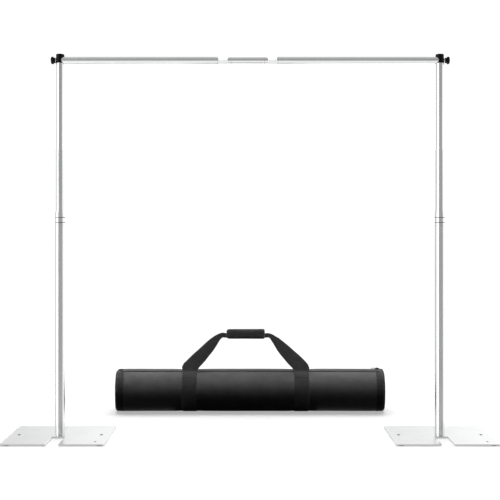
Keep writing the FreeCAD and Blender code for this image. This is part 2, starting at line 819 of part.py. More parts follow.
for side in (LEFT, RIGHT):
    build_base(side)
    build_upright(side)
    build_cap(side)
    build_knob(side, 0 if side == LEFT else 2.5)
    build_bar_end(side)
    build_bar(side, dim.left_reach if side == LEFT else dim.right_reach)
build_centre_tube()
build_bag_shell()
build_zip()
build_web("bag_left_web", dim.left_web_x)
build_web("bag_right_web", dim.right_web_x)
build_handle_webbing("bag_front_handle", -1)
build_handle_webbing("bag_back_handle", 1)
build_grip()
doc.recompute()

# ---------------------------------------------------------------- checks and export

for thing in doc.Objects:
    if "Invalid" in thing.State or "Error" in thing.State:
        raise RuntimeError(f"{thing.Label} did not compute: {thing.State}")
for node in nodes:
    if node.Shape.isNull() or not node.Shape.isValid():
        raise RuntimeError(f"{node.Label} has no valid shape")

os.makedirs("parts", exist_ok=True)
for node in nodes:
    node.Shape.exportStep(f"parts/{node.Label}.step")
print(len(nodes), "nodes written")
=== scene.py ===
"""Looks of the background support system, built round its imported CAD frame. Metres, in the frame's own axes."""

import json
import math

import bmesh
import bpy
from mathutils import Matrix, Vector, noise
from mathutils.bvhtree import BVHTree

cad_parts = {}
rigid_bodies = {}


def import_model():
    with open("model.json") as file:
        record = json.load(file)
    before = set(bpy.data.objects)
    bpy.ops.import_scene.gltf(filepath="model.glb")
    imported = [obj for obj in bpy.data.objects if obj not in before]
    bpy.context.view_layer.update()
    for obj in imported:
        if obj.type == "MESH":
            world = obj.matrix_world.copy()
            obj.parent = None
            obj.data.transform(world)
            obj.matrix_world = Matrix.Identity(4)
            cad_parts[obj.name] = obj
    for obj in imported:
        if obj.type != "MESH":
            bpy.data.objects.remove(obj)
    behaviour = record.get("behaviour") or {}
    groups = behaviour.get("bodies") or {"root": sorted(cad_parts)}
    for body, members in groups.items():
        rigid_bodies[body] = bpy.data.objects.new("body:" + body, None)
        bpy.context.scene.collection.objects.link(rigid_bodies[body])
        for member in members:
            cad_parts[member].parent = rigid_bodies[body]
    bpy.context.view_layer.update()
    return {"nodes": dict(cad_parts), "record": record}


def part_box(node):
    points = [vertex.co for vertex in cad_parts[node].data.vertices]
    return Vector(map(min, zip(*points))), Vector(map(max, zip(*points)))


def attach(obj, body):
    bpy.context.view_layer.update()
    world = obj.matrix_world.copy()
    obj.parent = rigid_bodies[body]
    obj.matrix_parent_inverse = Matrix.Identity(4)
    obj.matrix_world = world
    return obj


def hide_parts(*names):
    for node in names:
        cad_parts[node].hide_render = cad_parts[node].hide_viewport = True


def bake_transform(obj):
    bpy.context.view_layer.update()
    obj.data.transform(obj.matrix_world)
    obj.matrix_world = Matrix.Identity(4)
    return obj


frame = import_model()
NODES = frame["nodes"]
MM = 0.001

# ---------------------------------------------------------------- camera

POLE_RADIUS = 0.020
STAND_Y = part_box("left_lower_tube")[0].y + POLE_RADIUS
CAMERA_BACK = 3.405
CAMERA_HEIGHT = 0.840
FOCAL_LENGTH = 61.2
LENS_SHIFT = -0.0458

camera_data = bpy.data.cameras.new("camera")
camera_data.sensor_width = 36
camera_data.lens = FOCAL_LENGTH
camera_data.shift_y = LENS_SHIFT
camera = bpy.data.objects.new("camera", camera_data)
camera.location = (0, STAND_Y - CAMERA_BACK, CAMERA_HEIGHT)
camera.rotation_euler = (math.pi / 2, 0, 0)
scene = bpy.context.scene
scene.collection.objects.link(camera)
scene.camera = camera
scene.view_settings.view_transform = "Standard"
scene.cycles.use_denoising = True


# ---------------------------------------------------------------- node trees

class Tree:
    """A node tree that is filled a call at a time. Values may be numbers, colours or other nodes' outputs."""

    def __init__(self, owner):
        owner.use_nodes = True
        self.owner = owner
        self.nodes = owner.node_tree.nodes
        self.links = owner.node_tree.links

    def set(self, socket, value):
        if isinstance(value, bpy.types.NodeSocket):
            self.links.new(value, socket)
        elif isinstance(value, tuple) and len(value) == 3 and socket.type == "RGBA":
            socket.default_value = (*value, 1)
        else:
            socket.default_value = value

    def add(self, kind, values=None, **settings):
        node = self.nodes.new("ShaderNode" + kind)
        for key, value in settings.items():
            setattr(node, key, value)
        for key, value in (values or {}).items():
            self.set(node.inputs[key], value)
        return node

    def math(self, operation, *values, clamp=False):
        node = self.add("Math", dict(enumerate(values)), operation=operation, use_clamp=clamp)
        return node.outputs[0]

    def coords(self, kind="Object", scale=(1, 1, 1)):
        source = self.add("TexCoord").outputs[kind]
        if scale == (1, 1, 1):
            return source
        return self.add("Mapping", {"Vector": source, "Scale": scale}).outputs[0]

    def noise(self, vector, scale, detail=3, rough=0.55):
        values = {"Vector": vector, "Scale": scale, "Detail": detail, "Roughness": rough}
        return self.add("TexNoise", values).outputs[0]

    def spread(self, factor, low, high, start=0.3, end=0.7):
        """The factor's range from start to end, mapped to low..high."""
        values = {0: factor, 1: start, 2: end, 3: low, 4: high}
        return self.add("MapRange", values).outputs[0]

    def colours(self, factor, low, high, start=0.3, end=0.7):
        ramp = self.add("ValToRGB", {0: factor})
        ends = ramp.color_ramp.elements
        ends[0].position, ends[0].color = start, (*low, 1)
        ends[1].position, ends[1].color = end, (*high, 1)
        return ramp.outputs[0]

    def bump(self, height, depth):
        return self.add("Bump", {"Height": height, "Distance": depth, "Strength": 1.0}).outputs[0]

    def wave(self, vector, scale, direction):
        values = {"Vector": vector, "Scale": scale, "Distortion": 0.0}
        return self.add("TexWave", values, wave_type="BANDS", bands_direction=direction,
                        wave_profile="SIN").outputs[1]


def material(name, **values):
    """A new material's tree and its shader, with plain values set on the shader's own sockets."""
    tree = Tree(bpy.data.materials.new(name))
    shader = tree.nodes["Principled BSDF"]
    for key, value in values.items():
        tree.set(shader.inputs[key.replace("_", " ")], value)
    return tree, shader


def finish(tree, shader, colour, roughness, normal):
    for key, value in (("Base Color", colour), ("Roughness", roughness), ("Normal", normal)):
        tree.set(shader.inputs[key], value)
    return tree.owner


def drawn_tube(name, along, tone, worn=0.0):
    """Satin drawn aluminium: fine lines along the tube, faint handling marks, and slide marks where worn."""
    tree, shader = material(name, Metallic=1.0)
    across, length = 900.0, 5.0
    lines = tree.noise(tree.coords(scale=tuple(length if axis == along else across for axis in "xyz")), 1.0, 4, 0.6)
    marks = tree.noise(tree.coords(scale=tuple(2.2 if axis == along else 60.0 for axis in "xyz")), 1.0, 2)
    clouds = tree.noise(tree.coords(), 9.0, 3)
    low = tuple(part * (0.93 - worn) for part in tone)
    mixed = tree.math("MULTIPLY_ADD", marks, 0.6, tree.math("MULTIPLY", lines, 0.4))
    colour = tree.colours(mixed, low, tone, 0.34, 0.58)
    rough = tree.math("MULTIPLY_ADD", lines, 0.10, tree.spread(clouds, 0.13, 0.20))
    return finish(tree, shader, colour, rough, tree.bump(lines, 0.00004))


def plated_sheet(name, tone, rough=0.3, grain=260.0):
    """Zinc plating: a soft mottle, a fine grain, and duller patches."""
    tree, shader = material(name, Metallic=1.0)
    place = tree.coords()
    cells = tree.add("TexVoronoi", {"Vector": place, "Scale": grain}).outputs[0]
    clouds = tree.noise(place, 14.0, 4)
    fine = tree.noise(place, 900.0, 3)
    colour = tree.colours(tree.math("MULTIPLY_ADD", cells, 0.25, clouds), tuple(0.9 * part for part in tone), tone,
                          0.35, 0.8)
    roughness = tree.math("MULTIPLY_ADD", fine, 0.08, tree.spread(clouds, rough - 0.05, rough + 0.05))
    return finish(tree, shader, colour, roughness, tree.bump(fine, 0.00005))


def moulded(name, low, high, rough, depth=0.00006, scale=700.0, **values):
    """Moulded plastic or rubber: spark-eroded grain and faint scuffs."""
    tree, shader = material(name, **values)
    place = tree.coords()
    grain = tree.noise(place, scale, 4, 0.6)
    scuffs = tree.noise(tree.coords(scale=(40, 90, 25)), 1.0, 5, 0.7)
    colour = tree.colours(scuffs, low, high, 0.45, 0.75)
    roughness = tree.math("MULTIPLY_ADD", grain, 0.12, tree.spread(scuffs, rough - 0.08, rough + 0.04))
    return finish(tree, shader, colour, roughness, tree.bump(grain, depth))


def woven(name, low, high, rough, pitch, depth, twill=0.0, cloudy=16.0, **values):
    """Cloth from its UV map in metres: threads both ways, fuzz, and cloudy wear."""
    tree, shader = material(name, **values)
    place = tree.coords("UV")
    if twill:
        place = tree.add("Mapping", {"Vector": place, "Rotation": (0, 0, twill)}).outputs[0]
    # a wave texture repeats 20 times per 2 pi units at scale 1
    repeats = math.tau / 20 / pitch
    warp = tree.wave(place, repeats, "X")
    weft = tree.wave(place, repeats, "Y")
    threads = tree.math("MAXIMUM", warp, weft)
    fuzz = tree.noise(place, 2600.0, 3, 0.7)
    clouds = tree.noise(tree.coords(), cloudy, 5, 0.62)
    height = tree.math("MULTIPLY_ADD", fuzz, 0.35, threads)
    mixed = tree.math("MULTIPLY_ADD", clouds, 0.7, tree.math("MULTIPLY", height, 0.3))
    colour = tree.colours(mixed, low, high, 0.40, 0.75)
    roughness = tree.math("MULTIPLY_ADD", threads, -0.06, tree.spread(clouds, rough - 0.04, rough + 0.07))
    return finish(tree, shader, colour, roughness, tree.bump(height, depth))


ALUMINIUM = (0.90, 0.905, 0.91)
finishes = {
    # by the record's material slots
    "steel_plate": plated_sheet("plate_zinc", (0.88, 0.885, 0.89)),
    "zinc_steel": plated_sheet("bright_zinc", (0.84, 0.85, 0.86), 0.2, 600.0),
    "rubber": moulded("rubber", (0.014, 0.014, 0.014), (0.035, 0.034, 0.033), 0.82, 0.0001),
    # white nylon glows a little by its own emission: painted light that keeps the bushes near white
    "white_nylon": moulded("white_nylon", (0.86, 0.86, 0.85), (0.92, 0.92, 0.91), 0.4, 0.00003,
                           Emission_Color=(1.0, 1.0, 0.99), Emission_Strength=0.75),
    "grey_nylon": moulded("grey_nylon", (0.42, 0.42, 0.42), (0.56, 0.56, 0.55), 0.45, 0.00003),
    "black_plastic": moulded("black_plastic", (0.0035, 0.0035, 0.0037), (0.011, 0.011, 0.011), 0.3, 0.00004,
                             Specular_IOR_Level=0.15),
    "zip_metal": moulded("zip_enamel", (0.006, 0.006, 0.0065), (0.02, 0.02, 0.02), 0.32, 0.00002, 900.0),
    "bag_fabric": woven("bag_cloth", (0.033, 0.033, 0.0335), (0.052, 0.052, 0.0525), 0.62, 0.0011, 0.00008,
                        Specular_IOR_Level=0.02),
    "webbing": woven("webbing_weave", (0.0004, 0.0004, 0.0005), (0.017, 0.017, 0.0174), 0.66, 0.0019, 0.0004,
                     twill=0.5, cloudy=85.0, Specular_IOR_Level=0.6),
    # looks that only the visual pieces have
    # the bands' webbing: the handle's webbing again with its tone and gloss set apart, a second copy of one cloth that
    # paints in how light falls on the bands
    "band_webbing_relit": woven("band_webbing_weave", (0.006, 0.006, 0.0062), (0.022, 0.022, 0.0224), 0.7, 0.0019, 0.0004,
                          twill=0.5, cloudy=85.0, Specular_IOR_Level=0.22),
    "thread": moulded("sewing_thread", (0.012, 0.012, 0.0125), (0.03, 0.03, 0.031), 0.6, 0.00005, 3000.0),
    "grip_cloth": woven("grip_cloth", (0.004, 0.004, 0.0042), (0.014, 0.014, 0.0145), 0.62, 0.0010, 0.0002, twill=0.7,
                        Sheen_Weight=0.05),
    # dark matte binding cloth: on the zip seams its darkness is partly painted shade, and it also makes the end piping
    "binding": woven("seam_binding", (0.005, 0.005, 0.0052), (0.012, 0.012, 0.0122), 0.9, 0.0008, 0.0002,
                     Specular_IOR_Level=0.12),
    # cloth of the bands round the bag's ends, darker than the bag's cloth: partly painted shade where the ends fall
    # away from the light
    "shaded_end_band": woven("end_band_cloth", (0.015, 0.015, 0.0154), (0.026, 0.026, 0.0264), 0.8, 0.0011, 0.0001,
                      Specular_IOR_Level=0.02),
    # dark rubber, used for the collar's groove rings and the plates' hole liners, both painted shade
    "shade_rubber": moulded("shade_ring_rubber", (0.008, 0.008, 0.008), (0.016, 0.016, 0.016), 0.6, 0.00004, 1500.0,
                      Specular_IOR_Level=0.2),
    "dark_ring_line": plated_sheet("dark_ring_line", (0.52, 0.525, 0.53), 0.35, 900.0),
    "tape": woven("zip_tape_weave", (0.034, 0.034, 0.0344), (0.056, 0.056, 0.0564), 0.6, 0.0007, 0.0001, twill=0.78,
                  Specular_IOR_Level=0.2),
}
tubes = {
    "z": drawn_tube("drawn_aluminium_upright", "z", ALUMINIUM),
    "x": drawn_tube("drawn_aluminium_bar", "x", ALUMINIUM),
    "inner": drawn_tube("drawn_aluminium_sliding", "z", ALUMINIUM, 0.04),
}
for row in frame["record"]["subparts"]:
    node = NODES[row["node"]]
    if row["material_slot"] == "aluminium_tube":
        look = "x" if "bar" in row["node"] else "inner" if "middle" in row["node"] or "upper" in row["node"] else "z"
        chosen = tubes[look]
    else:
        chosen = finishes[row["material_slot"]]
    if not node.material_slots:
        node.data.materials.append(chosen)
    for slot in node.material_slots:
        slot.material = chosen


# ---------------------------------------------------------------- mesh helpers

def new_piece(name, mesh, look, smooth=True):
    piece = bpy.data.objects.new(name, mesh)
    scene.collection.objects.link(piece)
    piece.data.materials.append(look)
    if smooth:
        for face in mesh.polygons:
            face.use_smooth = True
    return piece


def grid(rows, closed_across=False, uv=None, caps=False):
    """A bmesh skin through rows of points. uv gives each point its place on the cloth, row by row."""
    skin = bmesh.new()
    layer = skin.loops.layers.uv.new("cloth")
    lines = [[skin.verts.new(point) for point in row] for row in rows]
    for i in range(len(lines) - 1):
        count = len(lines[i])
        for j in range(count if closed_across else count - 1):
            k = (j + 1) % count
            face = skin.faces.new((lines[i][j], lines[i + 1][j], lines[i + 1][k], lines[i][k]))
            if uv:
                spots = (uv[i][j], uv[i + 1][j], uv[i + 1][j + 1], uv[i][j + 1])
                for loop, spot in zip(face.loops, spots):
                    loop[layer].uv = spot
    if caps:
        skin.faces.new(lines[0])
        skin.faces.new(lines[-1][::-1])
    return skin


def to_mesh(skin, name):
    bmesh.ops.recalc_face_normals(skin, faces=skin.faces)
    mesh = bpy.data.meshes.new(name)
    skin.to_mesh(mesh)
    skin.free()
    return mesh


def join_rings(skin, rings):
    """Faces between neighbouring rings of vertices."""
    for first, second in zip(rings, rings[1:]):
        for j in range(len(first)):
            k = (j + 1) % len(first)
            skin.faces.new((first[j], second[j], second[k], first[k]))


def smooth_step(low, high, value):
    """0 at low, 1 at high, and eased between. low may be the larger of the two."""
    share = min(1.0, max(0.0, (value - low) / (high - low)))
    return share * share * (3 - 2 * share)


def along(points, value):
    """Straight interpolation in a list of (at, value) pairs."""
    for (a, first), (b, second) in zip(points, points[1:]):
        if value <= b:
            share = (value - a) / (b - a)
            return first + (second - first) * max(0.0, share)
    return points[-1][1]


# ---------------------------------------------------------------- rings on the metalwork

RING_STEPS = 72
COLLAR_GROOVES = (0.010, 0.030)
SHADE_RING_WIDTH, SHADE_RING_PROUD, SHADE_RING_SUNK = 0.0020, 0.0005, 0.0006
LINE_PROUD = 0.00012


def ring_line(name, centre, axis, radius, width, proud, look, body):
    """A thin ring round a tube, with a rounded face that stands proud of it."""
    skin = bmesh.new()
    beside = Vector((0, 1, 0))
    up = axis.cross(beside)
    section = [(-0.5, -0.0003), (-0.5, 0.35 * proud), (-0.3, 0.85 * proud), (0.0, proud), (0.3, 0.85 * proud),
               (0.5, 0.35 * proud), (0.5, -0.0003)]
    rings = []
    for k in range(RING_STEPS):
        turn = math.tau * k / RING_STEPS
        outward = math.cos(turn) * beside + math.sin(turn) * up
        rings.append([skin.verts.new(centre + axis * width * across + outward * (radius + high))
                      for across, high in section])
    join_rings(skin, rings + rings[:1])
    piece = new_piece(name, to_mesh(skin, name), look)
    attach(piece, body)


for side in ("left", "right"):
    low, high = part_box(f"{side}_lock_collar")
    middle = (low + high) / 2
    # dark rubber rings laid in the collar's two grooves: painted shade for the grooves
    for number, height in enumerate(COLLAR_GROOVES, 1):
        ring_line(f"{side}_collar_o_ring_{number}", Vector((middle.x, middle.y, low.z + height)), Vector((0, 0, 1)),
                  (high.y - low.y) / 2 - SHADE_RING_SUNK, SHADE_RING_WIDTH, SHADE_RING_PROUD, finishes["shade_rubber"],
                  f"{side}_collar")
    # one thin darker ring beside the bush on the centre tube, and one at the outer tube's mouth
    inward = 1 if side == "left" else -1
    bush_low, bush_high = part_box(f"{side}_bar_bush")
    tube_low, tube_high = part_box(f"{side}_bar_tube")
    centre_low, centre_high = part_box("bar_centre_tube")
    bush_end, mouth = (bush_high.x, tube_high.x) if side == "left" else (bush_low.x, tube_low.x)
    axis_y, axis_z = (centre_low.y + centre_high.y) / 2, (centre_low.z + centre_high.z) / 2
    ring_line(f"{side}_dark_ring_line", Vector((bush_end + inward * 0.0145, axis_y, axis_z)), Vector((1, 0, 0)),
              (centre_high.y - centre_low.y) / 2, 0.0016, LINE_PROUD, finishes["dark_ring_line"],
              "bar_centre")
    ring_line(f"{side}_bar_end_line", Vector((mouth - inward * 0.0035, axis_y, axis_z)), Vector((1, 0, 0)),
              (tube_high.y - tube_low.y) / 2, 0.0014, LINE_PROUD, finishes["dark_ring_line"],
              f"{side}_upper")

# the plates' holes, from the pole's axis
FLOOR_HOLE_X, FLOOR_HOLE_RADIUS = 0.165, 0.0045
TETHER_X, TETHER_Y, TETHER_RADIUS = 0.160, -0.110, 0.0025
LINER_STEPS = 40
LINER_FOOT = -0.0034


def shade_liner(name, x, y, top, hole, body):
    """A dark rubber liner in a hole of the plate, with a small lip on top: painted shade that darkens the hole."""
    skin = bmesh.new()
    section = [(hole - 0.0001, LINER_FOOT), (hole - 0.0001, 0.0), (hole + 0.0011, 0.0), (hole + 0.0012, 0.0004),
               (hole + 0.0006, 0.0008), (hole - 0.0008, 0.0007), (hole - 0.0016, 0.0001),
               (hole - 0.0017, LINER_FOOT)]
    rings = []
    for k in range(LINER_STEPS):
        turn = math.tau * k / LINER_STEPS
        rings.append([skin.verts.new((x + out * math.cos(turn), y + out * math.sin(turn), top + high))
                      for out, high in section])
    join_rings(skin, rings + rings[:1])
    piece = new_piece(name, to_mesh(skin, name), finishes["shade_rubber"])
    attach(piece, body)


for side, body in (("left", "left_stand"), ("right", "right_stand")):
    low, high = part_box(f"{side}_lower_tube")
    pole = (low + high) / 2
    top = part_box(f"{side}_outer_plate")[1].z
    for number, way in enumerate((-1, 1), 1):
        shade_liner(f"{side}_floor_hole_shade_{number}", pole.x + way * FLOOR_HOLE_X, pole.y, top, FLOOR_HOLE_RADIUS, body)
    shade_liner(f"{side}_tether_hole_shade", pole.x + TETHER_X, pole.y + TETHER_Y, top, TETHER_RADIUS, body)


# ---------------------------------------------------------------- the bag

shell_low, shell_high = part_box("bag_shell")
BAG_X = (shell_low.x + shell_high.x) / 2 - 0.0015
BAG_Y = (shell_low.y + shell_high.y) / 2
BAG_R = (shell_high.y - shell_low.y) / 2
BAG_Z = BAG_R
BAG_HALF = (shell_high.x - shell_low.x) / 2
WEB = 0.0022        # thickness of the webbing
WEB_X = [sum(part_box(f"bag_{side}_web")[corner].x for corner in (0, 1)) / 2 for side in ("left", "right")]
WEB_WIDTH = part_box("bag_left_web")[1].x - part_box("bag_left_web")[0].x
TAPE_HALF = math.radians(15.5)
SEAM = math.radians(17.2)
SIDE_END = BAG_HALF - 0.0108
END_TAPER = 0.0014
END_DRAW = 0.0055
ZIP_CHANNEL = 0.0023
SKIN_OFF = 0.0004
FLOOR_OFF, WEB_LIFT, FLOOR_SOFTNESS = 0.0004, 0.0020, 0.004
END_BAND_WIDTH = 0.0275
PIPING_RADIUS = 0.0011
SHELL_STEPS, SHELL_TURNS, END_TURNS, PIPING_SIDES = 230, 176, 150, 8
# how far past the side's end, and how much of its radius, each ring of an end has: over the seam, then a crowned panel
END_PROFILE = [
    (0.0018, 0.9993), (0.0038, 0.996), (0.0058, 0.989), (0.0077, 0.977), (0.0093, 0.960), (0.0104, 0.940),
    (0.0108, 0.922), (0.0102, 0.908), (0.0104, 0.894), (0.0110, 0.870), (0.0114, 0.78), (0.0117, 0.62),
    (0.0119, 0.44), (0.0120, 0.24), (0.0120, 0.08), (0.0120, 0.012),
]


def radial(turn):
    """The direction away from the bag's axis."""
    return Vector((0, math.sin(turn), math.cos(turn)))


def bag_radius(x, turn):
    """The cloth's distance from the bag's axis. turn is 0 at the top and grows towards the back."""
    radius = BAG_R + SKIN_OFF
    end = BAG_HALF - abs(x - BAG_X)
    radius -= END_TAPER * smooth_step(0.055, 0.010, end)
    # the zip lies in a shallow channel
    radius -= ZIP_CHANNEL * smooth_step(0.016, 0.009, abs(math.remainder(turn, math.tau)) * BAG_R)
    for web in WEB_X:
        away = abs(x - web) - WEB_WIDTH / 2
        radius -= 0.0010 * smooth_step(0.05, 0.0, away)
        pucker = noise.noise(Vector((turn * 9.0, web * 7.0, 0.3))) * smooth_step(0.045, 0.0, away)
        if away > 0:
            radius += 0.0007 * pucker * smooth_step(0.0, 0.006, away)
    radius += 0.0009 * noise.noise(Vector((x * 5.5, math.cos(turn) * 1.6, math.sin(turn) * 1.6)))
    radius += 0.0006 * noise.noise(Vector((turn * 14.0, x * 3.0, 4.0))) * smooth_step(0.07, 0.015, end)
    return radius


def bag_point(x, turn, out=0.0):
    """A point on the cloth, with its underside flattened on the floor, or on the webbing that passes below it."""
    radius = bag_radius(x, turn) + out
    y, z = radius * math.sin(turn), radius * math.cos(turn)
    under = min(abs(x - web) - WEB_WIDTH / 2 for web in WEB_X)
    floor = FLOOR_OFF + WEB_LIFT * smooth_step(0.030, 0.0, under) - out - BAG_Z
    # the stuffed ends draw in a little at the front and back
    end = SIDE_END - abs(x - BAG_X)
    x -= math.copysign(END_DRAW * abs(math.sin(turn)) ** 1.5 * smooth_step(0.16, -0.005, end), x - BAG_X)
    depth = floor + FLOOR_SOFTNESS - z
    if depth > 0:
        z = floor + FLOOR_SOFTNESS - FLOOR_SOFTNESS * math.tanh(depth / FLOOR_SOFTNESS)
    return Vector((x, BAG_Y + y, BAG_Z + z))


def bag_turns(count, start=-math.pi, end=math.pi):
    return [start + (end - start) * k / count for k in range(count + 1)]


def build_shell():
    """The bag's cloth: rings along its length, closer at the webbing's edges, and a rounded end each way."""
    xs = [BAG_X - SIDE_END + 2 * SIDE_END * k / SHELL_STEPS for k in range(SHELL_STEPS + 1)]
    for web in WEB_X:
        for edge in (-1, 1):
            for nudge in (-0.004, 0.0, 0.004):
                xs.append(web + edge * WEB_WIDTH / 2 + nudge)
    xs = sorted(xs)
    turns = bag_turns(SHELL_TURNS)
    rows, uv = [], []
    for x in xs:
        rows.append([bag_point(x, turn) for turn in turns[:-1]])
        uv.append([(x, turn * BAG_R) for turn in turns])
    for way in (-1, 1):
        edge = BAG_X + way * SIDE_END
        extra, extra_uv = [], []
        for bulge, share in END_PROFILE:
            ring = []
            for turn in turns[:-1]:
                flat = bag_point(edge, turn)
                ripple = 1.0 + 0.0012 * noise.noise(Vector((turn * 18.0, way, share * 3.0))) / share
                y = BAG_Y + (flat.y - BAG_Y) * share * ripple
                z = BAG_Z + (flat.z - BAG_Z) * share * ripple
                crown = bulge + 0.0006 * noise.noise(Vector((y * 30, z * 30, way * 2.0)))
                ring.append(Vector((edge + (flat.x - edge) * share + way * crown, y, z)))
            extra.append(ring)
            extra_uv.append([(spot.y + way, spot.z) for spot in ring + ring[:1]])
        if way < 0:
            rows = extra[::-1] + rows
            uv = extra_uv[::-1] + uv
        else:
            rows = rows + extra
            uv = uv + extra_uv
    skin = grid(rows, closed_across=True, uv=uv, caps=True)
    return new_piece("bag_shell_cloth", to_mesh(skin, "bag_shell_cloth"), finishes["bag_fabric"])


def build_ends():
    """A band of darker cloth round each end of the bag, with a thin piping along its seam; the darker tone is partly
    painted shade of the ends.
    """
    band, cord = bmesh.new(), bmesh.new()
    # the band stops short of the zip on each side of the top
    gap = math.radians(17.5)
    seam_out, seam_share = 0.0042, 0.997
    for way in (-1, 1):
        rows = []
        for turn in bag_turns(END_TURNS, gap, math.tau - gap):
            row = []
            for s in range(11):
                inboard = END_BAND_WIDTH * s / 10
                x = BAG_X + way * (SIDE_END - inboard)
                hem = 0.0003 * smooth_step(0.8, 0.86, s / 10)
                row.append((bag_point(x, turn, 0.0005 + hem), radial(turn), (inboard, turn * BAG_R)))
            rows.append(row)
        add_ribbon(band, rows, 0.0007)
        rings = []
        for turn in bag_turns(END_TURNS)[:-1]:
            flat = bag_point(BAG_X + way * SIDE_END, turn)
            middle = Vector((flat.x + way * seam_out, BAG_Y + (flat.y - BAG_Y) * seam_share,
                             BAG_Z + (flat.z - BAG_Z) * seam_share))
            rings.append([cord.verts.new(middle + PIPING_RADIUS * (math.cos(a) * radial(turn)
                                                                   + math.sin(a) * Vector((1, 0, 0))))
                          for a in (math.tau * s / PIPING_SIDES for s in range(PIPING_SIDES))])
        join_rings(cord, rings + rings[:1])
    for name, skin, look in (("bag_end_bands", band, "shaded_end_band"), ("bag_end_piping", cord, "binding")):
        piece = new_piece(name, to_mesh(skin, name), finishes[look])
        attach(piece, "left_stand")


shell = build_shell()
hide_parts("bag_shell")
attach(shell, "left_stand")


STITCH_PITCH = 0.0042
STITCH_SIDES = 6
# along a stitch from its middle, how thick it is and how high it stands, as shares of its length and radius
STITCH_PROFILE = ((-0.5, 0.35, -0.2), (-0.32, 0.9, 0.45), (0.0, 1.0, 0.7), (0.32, 0.9, 0.45), (0.5, 0.35, -0.2))


def stitches(skin, line, length=0.0030, radius=0.00042):
    """Raised thread stitches along a line of (point, outward) pairs, added to a bmesh."""
    travelled, next_at = 0.0, STITCH_PITCH / 2
    for (a, out_a), (b, out_b) in zip(line, line[1:]):
        step = (b - a).length
        while step > 0 and travelled + step >= next_at:
            share = (next_at - travelled) / step
            centre = a.lerp(b, share)
            out = out_a.lerp(out_b, share).normalized()
            ahead = (b - a).normalized()
            side = out.cross(ahead).normalized()
            rings = []
            for place, size, lift in STITCH_PROFILE:
                middle = centre + ahead * place * length + out * radius * lift
                rings.append([skin.verts.new(middle + radius * size * (math.cos(t) * side + math.sin(t) * out))
                              for t in (math.tau * s / STITCH_SIDES for s in range(STITCH_SIDES))])
            join_rings(skin, rings)
            skin.faces.new(rings[0])
            skin.faces.new(rings[-1][::-1])
            next_at += STITCH_PITCH
        travelled += step


# ---------------------------------------------------------------- webbing round the bag

BAND_SHARES = (-1, -0.94, -0.8, -0.5, -0.2, 0.2, 0.5, 0.8, 0.94, 1)
BAND_START = math.radians(24)
BAND_STEPS = 120
BAND_TUCK = 0.0026
# heights of the points up a band's standing end
STANDING_HEIGHTS = [0.1874 + 0.0052 * k for k in range(4)]
# the height of webbing that has left the bag's surface, and its distance before or behind the axis there
WEB_RISE = [(0.1840, 0.0362), (0.1880, 0.0325), (0.1940, 0.0303), (0.2040, 0.0281), (0.2160, 0.0250),
            (0.2280, 0.0218), (0.3435, 0.0033), (0.3600, 0.0024)]


def add_ribbon(skin, faces, thickness):
    """Rows of (point, outward, (u, v)) turned into a closed strip of that thickness, thinner at its two edges."""
    layer = skin.loops.layers.uv.verify()
    rings, spots = [], []
    for row in faces:
        outer, inner = [], []
        for k, (point, outward, spot) in enumerate(row):
            edge = min(k, len(row) - 1 - k)
            half = thickness / 2 * (0.35 if edge == 0 else 0.85 if edge == 1 else 1.0)
            outer.append((point + outward * half, spot))
            inner.append((point - outward * half, spot))
        ring = outer + inner[::-1]
        rings.append([skin.verts.new(point) for point, _ in ring])
        spots.append([spot for _, spot in ring])
    for i in range(len(rings) - 1):
        count = len(rings[i])
        for j in range(count):
            k = (j + 1) % count
            face = skin.faces.new((rings[i][j], rings[i + 1][j], rings[i + 1][k], rings[i][k]))
            for loop, spot in zip(face.loops, (spots[i][j], spots[i + 1][j], spots[i + 1][k], spots[i][k])):
                loop[layer].uv = spot
    skin.faces.new(rings[0][::-1])
    skin.faces.new(rings[-1])


def web_rise(z, way, out=0.0):
    """Where webbing that has left the bag's surface stands: its distance behind (+) or before (-) the axis."""
    return way * (along(WEB_RISE, z) + out)


def band_line(x, out):
    """Points of a webbing band round the bag at x, from one standing end round to the other."""
    points = [Vector((x, BAG_Y + web_rise(z, 1, out - BAND_TUCK), z)) for z in STANDING_HEIGHTS[::-1]]
    points += [bag_point(x, turn, out) for turn in bag_turns(BAND_STEPS, BAND_START, math.tau - BAND_START)]
    points += [Vector((x, BAG_Y + web_rise(z, -1, out - BAND_TUCK), z)) for z in STANDING_HEIGHTS]
    smooth = points[:]
    for _ in range(2):
        smooth = [smooth[0]] + [(a + 2 * b + c) / 4 for a, b, c in zip(smooth, smooth[1:], smooth[2:])] + [smooth[-1]]
    return smooth


